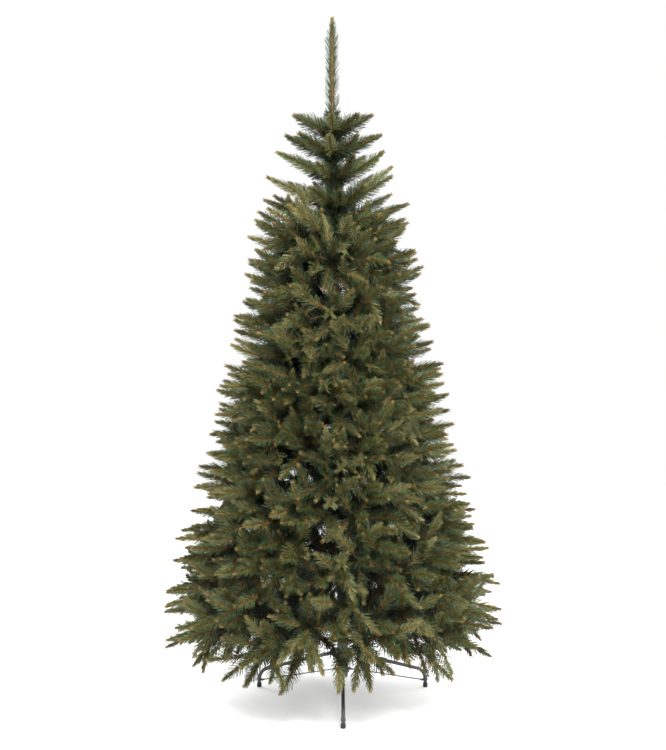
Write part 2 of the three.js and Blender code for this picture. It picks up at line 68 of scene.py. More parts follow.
LEGS = {"front": -90, "right": 30, "left": 150}
TUBE = dict(low=64, high=176, inner=12, outer=14.1)
HUB = dict(low=114, high=140, inner=14.6, outer=18)
COLLAR = dict(low=76, high=88, inner=14.6, outer=17.6)
CHEEK = dict(length=19, height=18, thick=2.6, corner=6)
CHEEK_MIDDLE = 23.5
CHEEK_ASIDE = 5.4
PIVOT = (27.5, 125.5)  # radius and height
PIN_R = 2
EAR = dict(length=10, height=8, thick=1.6, corner=3.5)
EAR_MIDDLE = 20.6
EAR_ASIDE = 1.75
BRACE_INNER = (21.8, 82)  # where a brace is riveted to the collar
BRACE_OUTER = (254.8, 21.6)  # and to its leg's clip
BRACE_R = 1.5
BRACE_END = dict(half_width=0.8, half_height=2.5, behind=2.6)  # a brace's flat end, round its rivet
EYE = dict(half_width=3.7, half_height=5.2, behind=7, ahead=17)  # the leg's flat end, round its pivot
LEG_R = 4.9
LEG_BEND = (236, 56.5)  # where the straight run of a leg ends
LEG_PULL = 17  # how far the bend's curve is drawn along the run and up from the foot
FOOT_X = 264
FOOT_Z = 5
FOOT_RISE = 15  # how much of a leg stands upright over its foot
CLIP = dict(low=18.2, high=25, inner=5.0, outer=6.3)
TAB = dict(length=9, height=5.6, thick=2.6, corner=2.6)
TAB_INWARDS = 9.4  # from the middle of the clip to the middle of its tab
# The foot cap's outline, up its outside and down into its socket.
CAP_OUTLINE = [
    (5.2, 0), (6.1, 0.4), (6.6, 1.4), (6.6, 3.2), (6.2, 3.7), (6.2, 4.5), (6.6, 5), (6.5, 7.2), (6.1, 7.7),
    (6.1, 8.5), (6.5, 9), (6.4, 11.2), (6.1, 11.8), (5.6, 12), (5.2, 11.8), (5.1, 11.2), (5.1, 4.8),
]

# Heights, and how far the tips reach from the upright there.
REACH = [
    (60, 250), (97, 340), (129, 430), (162, 446), (211, 468), (275, 446), (324, 440), (388, 414),
    (420, 414), (469, 402), (533, 370), (600, 362), (653, 338), (750, 318), (820, 302), (915, 290),
    (1010, 256), (1073, 242), (1152, 235), (1230, 224), (1290, 202),
]

# Whorls on the upper pole: the height the sprays root at, then each spray's azimuth, reach and rise.
WHORLS = [
    (1492, [(190, 103, 58), (158, 99, 60), (115, 96, 55), (269, 95, 50),
            (312, 105, 54), (28, 98, 60), (352, 108, 58), (78, 92, 56)]),
    (1438, [(183, 124, 60), (222, 118, 60), (110, 98, 50), (265, 105, 52), (303, 123, 55),
            (355, 131, 60), (30, 122, 62), (150, 118, 58), (74, 112, 58)]),
    (1377, [(186, 147, 76), (140, 118, 64), (242, 88, 45), (352, 137, 78),
            (300, 113, 64), (45, 124, 72), (96, 118, 66), (18, 128, 60)]),
    (1303, [(184, 172, 86), (150, 134, 76), (235, 108, 56), (280, 111, 48), (75, 108, 76),
            (314, 124, 62), (16, 165, 116), (351, 160, 88), (43, 150, 96), (112, 132, 78)]),
    (1246, [(183, 180, 84), (158, 168, 98), (212, 124, 70), (255, 104, 34), (304, 114, 46), (333, 138, 44),
            (29, 182, 102), (0, 202, 74), (70, 150, 80), (105, 146, 82), (135, 152, 76)]),
]

# Branch tiers from the top: height of the ends, their swing, branches, azimuth of the first, ends on each,
# slope of the stem and of the leading spray in degrees.
Tier = namedtuple("Tier", "height swing branches first ends stem lead")
TIERS = [
    Tier(1188, 20, 4, 250, 2, 27, 27),
    Tier(1066, 22, 4, 205, 2, 24, 22),
    Tier(940, 24, 5, 268, 2, 22, 17),
    Tier(812, 26, 5, 232, 3, 19, 12),
    Tier(680, 27, 5, 270, 3, 16, 8),
    Tier(545, 28, 5, 234, 3, 13, 4),
    Tier(408, 28, 6, 268, 3, 10, 0),
    Tier(252, 34, 6, 240, 3, 6, -10),
]

# ---------------------------------------------------------------- small helpers


def blend(value, low, high):
    """How far a value is from low to high, from 0 to 1, easing at both."""
    share = min(max((value - low) / (high - low), 0), 1)
    return share * share * (3 - 2 * share)


def table(rows, z):
    """The size that rows of heights and sizes give at a height."""
    if z <= rows[0][0]:
        return rows[0][1]
    for (z0, r0), (z1, r1) in zip(rows, rows[1:]):
        if z <= z1:
            return r0 + (r1 - r0) * (z - z0) / (z1 - z0)
    return rows[-1][1]


def polar(r, azimuth, z):
    """A place at a radius, an azimuth in degrees and a height."""
    turn = math.radians(azimuth)
    return Vector((r * math.cos(turn), r * math.sin(turn), z))


def pole_x(z):
    """How far aside the leaning pole's middle is at a height."""
    return POLE_LEAN * (POLE_TOP - z)


def pole_r(z):
    """The pole's radius at a height."""
    return table(POLE_STEPS, z)


def generator(seed):
    """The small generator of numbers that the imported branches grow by."""
    mask = 0xFFFFFFFF
    state = seed & mask

    def draw(low, high):
        nonlocal state
        state = (state + 0x6D2B79F5) & mask
        t = ((state ^ (state >> 15)) * (state | 1)) & mask
        t ^= (t + (t ^ (t >> 7)) * (t | 61)) & mask
        return low + (high - low) * (t ^ (t >> 14)) / 4294967296

    return draw


def across(direction):
    """Two directions square to a limb's own."""
    u = Vector((0, 0, 1)).cross(direction)
    if u.length < 1e-3:
        u = Vector((1, 0, 0))
    u.normalize()
    return u, direction.cross(u)


def spread(direction, around, opening):
    """A direction opened from another, turned about it, both in radians."""
    u, v = across(direction)
    side = u * math.cos(around) + v * math.sin(around)
    return direction * math.cos(opening) + side * math.sin(opening)


# ---------------------------------------------------------------- growth


BOW = 0.05  # how far a spray's middle bends aside, as a share of its length


class Spray:
    """One brush tip: where it starts, which way it points and its length."""

    def __init__(self, at, direction, length, tone=1, size=1.0):
        self.at = at
        self.direction = direction
        self.length = length
        self.tone = tone
        self.size = size
        self.bow = Vector((0, 0, 0))

    def bend(self, dice):
        """Bow it aside a little, and say which green it has."""
        u, v = across(self.direction)
        turn = dice.uniform(0, math.tau)
        self.bow = (u * math.cos(turn) + v * math.sin(turn)) * (dice.uniform(0, BOW) * self.length)
        self.tone = dice.choice((0, 0, 1, 1, 1, 2))

    def point(self, share):
        return self.at + self.direction * (self.length * share) + self.bow * (4 * share * (1 - share))


def grow(tier, index):
    """One branch by the frame's rule: its root, its fork, and each end with all its sprays."""
    draw = generator(tier.height * 10 + index)
    turn = 360 / tier.branches
    azimuth = tier.first + index * turn + draw(-4, 4)
    slope = math.tan(math.radians(tier.stem))
    lead = math.radians(tier.lead)
    middle = table(REACH, tier.height + math.sin(lead) * SPRAY) - math.cos(lead) * SPRAY
    fork = middle * (0.5 if tier.ends == 2 else 0.42)
    axis = pole_x(tier.height)

    def along(r, az, z):
        return polar(r, az, z) + Vector((axis * max(0, 1 - r / middle), 0, 0))

    low = tier.height - middle * slope
    widest = pole_r(low - STEM_R - 1)
    root = polar(widest + CLEAR, azimuth, low) + Vector((pole_x(low), 0, 0))
    crotch = along(fork, azimuth, tier.height - (middle - fork) * slope)
    flip = -1 if index % 2 else 1
    ends = []
    for k in range(tier.ends):
        side = k - (tier.ends - 1) / 2
        up = flip * (1 - 2 * k if tier.ends == 2 else (0.6, -1, 0.6)[k])
        az = azimuth + side * turn * 0.98 / tier.ends + draw(-3, 3)
        z = tier.height + up * tier.swing + draw(-6, 6)
        tilt = lead + math.radians(draw(-4, 4))
        reach = table(REACH, z + math.sin(tilt) * SPRAY) - math.cos(tilt) * SPRAY - draw(0, 9)
        at = along(reach, az, z)
        out = polar(math.cos(tilt), az, math.sin(tilt))
        roll = draw(0, 360)
        sprays = [Spray(at, out, SPRAY)]
        for j in range(5):
            around = math.radians(roll + j * 72 + draw(-12, 12))
            opening = math.radians(draw(OPENING + 1, OPENING + 9))
            sprays.append(Spray(at, spread(out, around, opening), SPRAY * draw(0.84, 0.96)))
        ends.append((at, sprays))
    return root, crotch, ends


# Tips behind those at an end: share of the limb they sit at, opening in degrees, share of a spray's length.
TWIG_TIPS = [(0.45, 52, 0.86), (0.8, 46, 0.9)]
STEM_TIPS = [(0.15, 66, 0.8), (0.35, 60, 0.8), (0.6, 56, 0.8), (0.9, 50, 0.85)]
LOW_STEM_TIPS = [
    (0.1, 68, 0.8), (0.22, 66, 0.85), (0.36, 60, 0.85), (0.5, 60, 0.85), (0.64, 58, 0.85), (0.8, 55, 0.85),
]
SECOND = (34, 68)  # how far above or below an end the finer twigs' ends lie
SECOND_SIDES = (1, -1, 0.3)  # one above, one below and one close above
LOW_SECOND = (56, 92)  # and how far below an end of the lowest tier
LOW_TILT = 16  # and how much more steeply the sprays there hang, in degrees
SECOND_OPENING = (42, 60)


def finer(start, end, tips, dice):
    """The tips that sit along a twig or a stem, behind those at its end."""
    line = end - start
    direction = line.normalized()
    found = []
    turn = dice.uniform(0, math.tau)
    for share, opening, length in tips:
        turn += math.radians(dice.uniform(120, 160))
        aim = spread(direction, turn, math.radians(opening + dice.uniform(-6, 6)))
        spray = Spray(start + line * share, aim, SPRAY * length * dice.uniform(0.92, 1.04), size=0.95)
        if spray.point(1).z > LOWEST:
            found.append(spray)
    return found


def second(tier, at, up, dice):
    """A finer twig's end between this end and the next tier, up or down: a leading spray and one aside."""
    turn = 360 / tier.branches / tier.ends
    azimuth = math.degrees(math.atan2(at.y, at.x)) + turn * dice.uniform(0.3, 0.7)
    low = up < 0 and tier is TIERS[-1]
    z = at.z + up * dice.uniform(*(LOW_SECOND if low else SECOND))
    tilt = math.radians(tier.lead - LOW_TILT * low + dice.uniform(-8, 8))
    reach = table(REACH, z + math.sin(tilt) * SPRAY) - math.cos(tilt) * SPRAY + dice.uniform(-8, 10)
    out = polar(math.cos(tilt), azimuth, math.sin(tilt))
    end = polar(reach, azimuth, z)
    opening = math.radians(dice.uniform(*SECOND_OPENING))
    aside = spread(out, dice.uniform(0, math.tau), opening)
    sprays = [Spray(end, out, SPRAY), Spray(end, aside, SPRAY * dice.uniform(0.86, 0.98))]
    return end, [spray for spray in sprays if spray.point(1).z > LOWEST]


# Tips that hang from a twig of the lowest tier: share of the twig, share of a spray's length.
HANGING = [(0.3, 0.85), (0.5, 0.9), (0.7, 0.95), (0.9, 1)]
DROOP = (38, 64)  # and how steeply, in degrees


def hanging(start, end, dice):
    """Tips that hang below a twig of the lowest tier."""
    line = end - start
    azimuth = math.degrees(math.atan2(line.y, line.x))
    found = []
    for share, length in HANGING:
        tilt = -math.radians(dice.uniform(*DROOP))
        aim = polar(math.cos(tilt), azimuth + dice.uniform(-45, 45), math.sin(tilt))
        found.append(Spray(start + line * share, aim, SPRAY * length))
    return [spray for spray in found if spray.point(1).z > LOWEST]


# ---------------------------------------------------------------- materials


def srgb(red, green, blue):
    """A colour given from 0 to 255, as the linear values that a shader takes."""
    def linear(value):
        value /= 255
        return value / 12.92 if value <= 0.04045 else ((value + 0.055) / 1.055) ** 2.4

    return (linear(red), linear(green), linear(blue), 1)


def film(name, colour):
    """Cut plastic film: one plain colour with a soft gloss."""
    material = bpy.data.materials.new(name)
    material.use_nodes = True
    shader = material.node_tree.nodes["Principled BSDF"]
    shader.inputs["Base Color"].default_value = srgb(*colour)
    shader.inputs["Roughness"].default_value = 0.45
    shader.inputs["Specular IOR Level"].default_value = 0.4
    return material


def mottled(name, dark, light, roughness, scale, grain, metallic=0.0):
    """Paint, rubber or wound wire: colour, roughness and a fine bump that vary over the piece."""
    material = bpy.data.materials.new(name)
    material.use_nodes = True
    nodes, links = material.node_tree.nodes, material.node_tree.links
    shader = nodes["Principled BSDF"]
    shader.inputs["Metallic"].default_value = metallic
    place = nodes.new("ShaderNodeTexCoord").outputs["Object"]

    def noise(size, detail):
        node = nodes.new("ShaderNodeTexNoise")
        node.inputs["Scale"].default_value = size
        node.inputs["Detail"].default_value = detail
        links.new(place, node.inputs["Vector"])
        return node.outputs["Fac"]

    def ramp(source, low, high):
        node = nodes.new("ShaderNodeValToRGB")
        node.color_ramp.elements[0].position = 0.35
        node.color_ramp.elements[1].position = 0.65
        node.color_ramp.elements[0].color = low
        node.color_ramp.elements[1].color = high
        links.new(source, node.inputs["Fac"])
        return node.outputs["Color"]

    patches = noise(scale, 4)
    links.new(ramp(patches, srgb(*dark), srgb(*light)), shader.inputs["Base Color"])
    low, high = ((value, value, value, 1) for value in roughness)
    links.new(ramp(patches, low, high), shader.inputs["Roughness"])
    bump = nodes.new("ShaderNodeBump")
    bump.inputs["Strength"].default_value = 0.35
    bump.inputs["Distance"].default_value = 0.0004
    links.new(noise(grain, 3), bump.inputs["Height"])
    links.new(bump.outputs["Normal"], shader.inputs["Normal"])
    return material


# Each set of films: three tones, then the start and the end of a brush tip. The start's darker film is
# painted shade at the base of the tip; the end's is the tip's own colour.
GREENS = [
    film("needle film dark green", (51, 63, 36)),
    film("needle film mid green", (68, 79, 45)),
    film("needle film light green", (96, 102, 65)),
    # painted shade, for the base of each tip
    film("needle film painted shade green", (34, 44, 25)),
    film("needle film olive end", (100, 91, 50)),
]
# Painted shade: darker films for the tips, stems and twigs inside the tree, where shade falls.
INNER_SHADE_GREENS = [
    film("inner film painted shade blackish green", (29, 38, 23)),
    film("inner film painted shade dark green", (43, 54, 32)),
    film("inner film painted shade green", (57, 70, 42)),
]
# The start of each inner line takes the blackish film, more painted shade; its end the plain inner green.
INNER_SHADE_GREENS += [INNER_SHADE_GREENS[0], INNER_SHADE_GREENS[2]]
BROWNS = [
    film("spine film dark brown", (104, 81, 41)),
    film("spine film mid brown", (121, 96, 49)),
    film("spine film light brown", (143, 115, 64)),
    # painted shade, for the base of each spine
    film("spine film painted shade brown", (66, 54, 28)),
    film("spine film tan end", (146, 115, 66)),
]
SPINE_WIRE = mottled("brown spine wire", (96, 70, 34), (122, 94, 46), (0.55, 0.8), 120, 900)
WIRE = mottled("wound wire", (34, 36, 22), (50, 50, 30), (0.6, 0.85), 90, 900)
POLE_PAINT = mottled("dark green pole paint", (30, 38, 26), (38, 46, 32), (0.4, 0.55), 30, 700, 0.2)
STAND_PAINT = mottled("charcoal stand paint", (58, 60, 60), (70, 72, 71), (0.32, 0.48), 40, 900, 0.35)
RIVET = mottled("blackened rivet steel", (52, 52, 51), (76, 75, 72), (0.28, 0.42), 60, 500, 0.7)
CAP_RUBBER = mottled("foot cap rubber", (24, 24, 24), (32, 32, 31), (0.6, 0.75), 80, 1200)
FLOOR = mottled("studio floor", (236, 236, 236), (238, 238, 238), (0.8, 0.85), 2, 40)

# ---------------------------------------------------------------- needles, by a node tree


def needle():
    """One needle along +Z, a unit long and wide: a strip with a slanting end, folded a little."""
    mesh = bpy.data.meshes.new("needle")
    mesh.from_pydata(
        [(-0.45, 0, 0), (0.45, 0, 0), (0.3, 0.2, 0.9), (-0.16, -0.1, 1)], [], [(0, 1, 2), (0, 2, 3)])
    thing = bpy.data.objects.new("needle", mesh)
    bpy.context.scene.collection.objects.link(thing)
    return thing


BRUSH_INPUTS = [
    ("Geometry", "NodeSocketGeometry"),
    ("Needle", "NodeSocketObject"),
    ("Spacing", "NodeSocketFloat"),
    ("Length", "NodeSocketFloat"),
    ("Width", "NodeSocketFloat"),
    ("Sweep at start", "NodeSocketFloat"),
    ("Sweep at end", "NodeSocketFloat"),
    ("Turn", "NodeSocketFloat"),
    ("Fan from", "NodeSocketFloat"),
    ("Fan", "NodeSocketFloat"),
    ("Gather", "NodeSocketFloat"),
    ("Size at start", "NodeSocketFloat"),
    ("Size at end", "NodeSocketFloat"),
    ("Full from", "NodeSocketFloat"),
    ("Full to", "NodeSocketFloat"),
    ("Start to", "NodeSocketFloat"),
    ("End from", "NodeSocketFloat"),
    ("Seed", "NodeSocketInt"),
    ("First", "NodeSocketMaterial"),
    ("Second", "NodeSocketMaterial"),
    ("Third", "NodeSocketMaterial"),
    ("Start", "NodeSocketMaterial"),
    ("End", "NodeSocketMaterial"),
]


class Tree:
    """A Geometry Nodes tree with named inputs, and what adds and wires its nodes."""

    def __init__(self, name, inputs):
        self.group = bpy.data.node_groups.new(name, "GeometryNodeTree")
        for title, kind in inputs:
            self.group.interface.new_socket(title, in_out="INPUT", socket_type=kind)
        self.group.interface.new_socket("Geometry", in_out="OUTPUT", socket_type="NodeSocketGeometry")
        self.given = self.node("NodeGroupInput")

    def node(self, kind, plugs=None, **settings):
        """A new node's outputs; what is plugged in is a value or another node's output."""
        made = self.group.nodes.new(kind)
        for key, value in settings.items():
            setattr(made, key, value)
        for key, value in (plugs or {}).items():
            if isinstance(value, bpy.types.NodeSocket):
                self.group.links.new(value, made.inputs[key])
            else:
                made.inputs[key].default_value = value
        return made.outputs

    def calc(self, operation, a, b=0.0):
        """A sum or a comparison."""
        return self.node("ShaderNodeMath", {0: a, 1: b}, operation=operation)[0]

    def chance(self, low, high, extra):
        """A random value for each needle; extra sets it apart from the tree's other ones."""
        plugs = {2: low, 3: high, "Seed": self.calc("ADD", self.given["Seed"], extra)}
        return self.node("FunctionNodeRandomValue", plugs, data_type="FLOAT")[1]

    def between(self, value, low, high, at_low, at_high):
        """A value carried from one range to another, and held at its ends."""
        plugs = {"Value": value, "From Min": low, "From Max": high, "To Min": at_low, "To Max": at_high}
        return self.node("ShaderNodeMapRange", plugs)["Result"]

    def stored(self, name, kind):
        """What each point of the mesh has under a name."""
        return self.node("GeometryNodeInputNamedAttribute", {"Name": name}, data_type=kind)["Attribute"]

    def turned(self, **angles):
        """A rotation by angles about X, Y and Z."""
        angles = self.node("ShaderNodeCombineXYZ", angles)[0]
        return self.node("FunctionNodeEulerToRotation", {0: angles})[0]

    def placed(self, points, shape, rotation, scale):
        """A shape set on each point, as plain geometry."""
        plugs = {"Points": points, "Instance": shape, "Rotation": rotation, "Scale": scale}
        made = self.node("GeometryNodeInstanceOnPoints", plugs)["Instances"]
        return self.node("GeometryNodeRealizeInstances", {"Geometry": made})["Geometry"]

    def painted(self, geometry, material, selection=True):
        """The geometry with the material of a named input, on all of it or on what is selected."""
        plugs = {"Geometry": geometry, "Selection": selection, "Material": self.given[material]}
        return self.node("GeometryNodeSetMaterial", plugs)["Geometry"]

    def end(self, geometry):
        """The finished tree, which gives this geometry."""
        self.node("NodeGroupOutput", {"Geometry": geometry})
        return self.group


def brush_points(tree):
    """Points spaced along the lines, each with its share of the way."""
    curve = tree.node("GeometryNodeMeshToCurve", {"Mesh": tree.given["Geometry"]})["Curve"]
    along = tree.node("GeometryNodeSplineParameter")["Factor"]
    curve = tree.node("GeometryNodeStoreNamedAttribute", {"Geometry": curve, "Name": "share", "Value": along},
                      data_type="FLOAT", domain="POINT")["Geometry"]
    return tree.node("GeometryNodeCurveToPoints", {"Curve": curve, "Length": tree.given["Spacing"]},
                     mode="LENGTH")


def brush_turns(tree, tangent, share):
    """How a needle stands: fanned round the line, swept towards its end and twisted on itself."""
    face = tree.stored("face", "FLOAT_VECTOR")
    axes = tree.node("FunctionNodeAxesToRotation", {0: tangent, 1: face},
                     primary_axis="Z", secondary_axis="X")[0]
    index = tree.node("GeometryNodeInputIndex")[0]
    step = tree.calc("FRACT", tree.calc("MULTIPLY", index, tree.given["Turn"]))
    around = tree.calc("ADD", tree.given["Fan from"], tree.calc("MULTIPLY", step, tree.given["Fan"]))
    rows = tree.calc("SINE", tree.calc("MULTIPLY", around, 4.0))
    around = tree.calc("ADD", around, tree.calc("MULTIPLY", rows, tree.given["Gather"]))
    around = tree.calc("ADD", around, tree.chance(-0.13, 0.13, 1))
    sweep = tree.between(share, 0.0, 1.0, tree.given["Sweep at start"], tree.given["Sweep at end"])
    sweep = tree.calc("ADD", sweep, tree.chance(-0.1, 0.1, 2))
    stood = axes
    for turn in (tree.turned(Y=sweep, Z=around), tree.turned(Z=tree.chance(-1.3, 1.3, 3))):
        stood = tree.node("FunctionNodeRotateRotation", {0: stood, 1: turn}, rotation_space="LOCAL")[0]
    return stood


def brush_sizes(tree, share):
    """A needle's size: shorter at both ends of the line."""
    rising = tree.between(share, 0.0, tree.given["Full from"], tree.given["Size at start"], 1.0)
    falling = tree.between(share, tree.given["Full to"], 1.0, 1.0, tree.given["Size at end"])
    size = tree.calc("MULTIPLY", tree.calc("MINIMUM", rising, falling), tree.chance(0.84, 1.08, 4))
    size = tree.calc("MULTIPLY", size, tree.stored("size", "FLOAT"))
    long = tree.calc("MULTIPLY", size, tree.given["Length"])
    width = tree.given["Width"]
    return tree.node("ShaderNodeCombineXYZ", {"X": width, "Y": width, "Z": long})[0]


def brush_tree():
    """Needles wound round the lines of a mesh, swept towards each line's end and shorter at both ends.

    Gather draws them into four rows, with the spine showing between. The line's tone picks one of three
    films, and both its ends have films of their own: the start's is a darker film, painted shade at the
    base of the line, and the end's is the tip's own colour.
    """
    tree = Tree("wound needles", BRUSH_INPUTS)
    points = brush_points(tree)
    share = tree.stored("share", "FLOAT")
    stood = brush_turns(tree, points["Tangent"], share)
    shape = tree.node("GeometryNodeObjectInfo", {"Object": tree.given["Needle"]})["Geometry"]
    made = tree.placed(points["Points"], shape, stood, brush_sizes(tree, share))
    tone = tree.stored("tone", "FLOAT")
    made = tree.painted(made, "First")
    made = tree.painted(made, "Second", tree.calc("GREATER_THAN", tone, 0.5))
    made = tree.painted(made, "Third", tree.calc("GREATER_THAN", tone, 1.5))
    # Painted shade: the start of each line takes the darker film.
    made = tree.painted(made, "Start", tree.calc("LESS_THAN", share, tree.given["Start to"]))
    made = tree.painted(made, "End", tree.calc("GREATER_THAN", share, tree.given["End from"]))
    return tree.end(made)


NEEDLE = needle()
BRUSH = brush_tree()
LINE_STEPS = 4  # edges along a spray's centre line
UPWARD = 0.45  # how far up its rows of needles face, against outwards


def lines(name, sprays, stop_short=8.0, rows=(0,)):
    """The sprays' centre lines as a mesh of edges, each vertex with its face, tone and size.

    A line is repeated for each row, faced that many degrees round itself, so that its needles stand in
    layers.
    """
    points, edges, faces, tones, sizes = [], [], [], [], []
    for spray, row in ((spray, row) for spray in sprays for row in rows):
        outward = Vector((spray.at.x, spray.at.y, 0))
        outward = outward.normalized() if outward.length > 1 else Vector((0, -1, 0))
        facing = outward + Vector((0, 0, UPWARD))
        facing -= spray.direction * facing.dot(spray.direction)
        if facing.length < 0.05:
            facing = across(spray.direction)[1]
        facing.normalize()
        facing.rotate(Matrix.Rotation(math.radians(row), 3, spray.direction))
        whole = 1 - stop_short / spray.length
        for step in range(LINE_STEPS + 1):
            points.append(spray.point(whole * step / LINE_STEPS) * MM)
            faces.append(facing)
            tones.append(float(spray.tone))
            sizes.append(spray.size)
            if step:
                edges.append((len(points) - 2, len(points) - 1))
    mesh = bpy.data.meshes.new(name)
    mesh.from_pydata(points, edges, [])
    mesh.attributes.new("face", "FLOAT_VECTOR", "POINT").data.foreach_set(
        "vector", [value for face in faces for value in face])
    mesh.attributes.new("tone", "FLOAT", "POINT").data.foreach_set("value", tones)
    mesh.attributes.new("size", "FLOAT", "POINT").data.foreach_set("value", sizes)
    return mesh


def grown(name, mesh, group, values):
    """A piece whose plain mesh is what a node tree makes on a mesh, with these values for its inputs."""
    thing = bpy.data.objects.new(name, mesh)
    bpy.context.scene.collection.objects.link(thing)
    modifier = thing.modifiers.new(group.name, "NODES")
    modifier.node_group = group
    sockets = {item.name: item.identifier for item in group.interface.items_tree if item.in_out == "INPUT"}
    for key, value in values.items():
        modifier[sockets[key]] = value
    thing.update_tag()
    result = plain(thing)
    thing.modifiers.clear()
    thing.data = result
    return thing


def wound(name, mesh, seed, films, **sizes):
    """A piece of needles round a mesh's lines; the films are for three tones, the start (painted shade) and
    the end.
    """
    values = {"Needle": NEEDLE, "Seed": seed}
    values.update(zip(("First", "Second", "Third", "Start", "End"), films))
    values.update({key.replace("_", " ").capitalize(): value for key, value in sizes.items()})
    return grown(name, mesh, BRUSH, values)


def plain(thing):
    """The evaluated object as a mesh of its own, with no attributes left on it."""
    bpy.context.view_layer.update()
    graph = bpy.context.evaluated_depsgraph_get()
    mesh = bpy.data.meshes.new_from_object(thing.evaluated_get(graph))
    for name in ("share", "face", "tone", "size"):
        if name in mesh.attributes:
            mesh.attributes.remove(mesh.attributes[name])
    return mesh


def settle(piece, nodes=()):
    """Hands a finished piece to the frame: what it rides on and the nodes it stands for."""
    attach(piece, "root")
    if nodes:
        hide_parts(*nodes)


# ---------------------------------------------------------------- needle sizes, in metres and radians

# LONG is for the green needles of a brush tip, SHORT for the brown ones along its spine. Turn is the part of
# the fan from one needle to the next. The needles of a tip's first part, up to the share given for its start,
# take a darker film: painted shade.
LONG = dict(
    spacing=0.0007, length=0.0325, width=0.0022, sweep_at_start=1.05, sweep_at_end=0.34,
    turn=1 / 8, fan_from=math.pi / 8, fan=math.tau, gather=0.2,
    size_at_start=0.75, size_at_end=0.36, full_from=0.14, full_to=0.58, start_to=0.31, end_from=0.94,
)
GOLDEN = dict(turn=0.618034, fan_from=0.0, fan=math.tau, gather=0.0)  # evenly all round
SHORT = dict(
    spacing=0.0011, length=0.0138, width=0.0028, sweep_at_start=0.9, sweep_at_end=0.25, **GOLDEN,
    size_at_start=0.8, size_at_end=0.7, full_from=0.15, full_to=0.85, start_to=0.2, end_from=0.94,
)
# On the inner tips' spines the darker brown of painted shade covers the first half.
INNER_LONG = LONG | dict(spacing=0.00105, width=0.0027)
INNER_SHORT = SHORT | dict(spacing=0.0017, start_to=0.5)
TWIG_LONG = LONG | GOLDEN | dict(
    spacing=0.0012, width=0.0025, sweep_at_end=0.6, size_at_end=0.8, full_to=0.9, end_from=2.0,
)
WHORL_LONG = LONG | dict(spacing=0.00045, length=0.035, sweep_at_start=1.1, size_at_start=0.85, full_to=0.55)
WHORL_SHORT = SHORT | dict(length=0.016)
WINDING = LONG | GOLDEN | dict(
    spacing=0.00014, sweep_at_start=0.95, sweep_at_end=0.9, size_at_start=1.0, size_at_end=1.0,
    start_to=0.0, end_from=2.0,
)
LEADER_LONG = LONG | dict(
    spacing=0.0055, length=0.036, width=0.0026, sweep_at_start=0.68, sweep_at_end=0.55,
    turn=0.0, fan_from=0.0, gather=0.0, size_at_start=1.0, size_at_end=0.3, full_to=0.72, start_to=0.0,
)
LEADER_SHORT = SHORT | dict(
    spacing=0.00042, length=0.013, width=0.0034, sweep_at_start=0.55, sweep_at_end=0.35, start_to=0.0,
)

# ---------------------------------------------------------------- wires


def tubes(name, paths, material, resolution=1):
    """Tapered wires along paths of points and radii, in millimetres, as one piece."""
    curve = bpy.data.curves.new(name, "CURVE")
    curve.dimensions = "3D"
    curve.bevel_depth = 1.0
    curve.bevel_resolution = resolution
    curve.use_fill_caps = True
    for path in paths:
        spline = curve.splines.new("POLY")
        spline.points.add(len(path) - 1)
        for point, (place, radius) in zip(spline.points, path):
            point.co = (*(place * MM), 1)
            point.radius = radius * MM
    thing = bpy.data.objects.new(name + "_curve", curve)
    bpy.context.scene.collection.objects.link(thing)
    mesh = plain(thing)
    bpy.data.objects.remove(thing)
    mesh.materials.clear()
    mesh.materials.append(material)
    mesh.shade_smooth()
    piece = bpy.data.objects.new(name, mesh)
    bpy.context.scene.collection.objects.link(piece)
    return piece


# Shares of a wire's length, and its radius there.
STEM_TAPER = [(0, STEM_R), (0.15, 3.4), (1, 3.0)]
TWIG_TAPER = [(0, 2.6), (1, 1.8)]


def wire(start, end, taper):
    """A straight wire, as places and radii."""
    return [(start.lerp(end, share), radius) for share, radius in taper]


def spine(spray, thick=1.7):
    """The wire in a brush tip, as places and radii."""
    return [(spray.point(0), thick), (spray.point(0.5), 1.5), (spray.point(0.94), 1.1)]


# ---------------------------------------------------------------- tiers of branches


def limb(start, end, size=1.0):
    """A bare limb as a spray of the first tone, for the needles wound on it."""
    line = end - start
    return Spray(start, line.normalized(), line.length, 0, size)


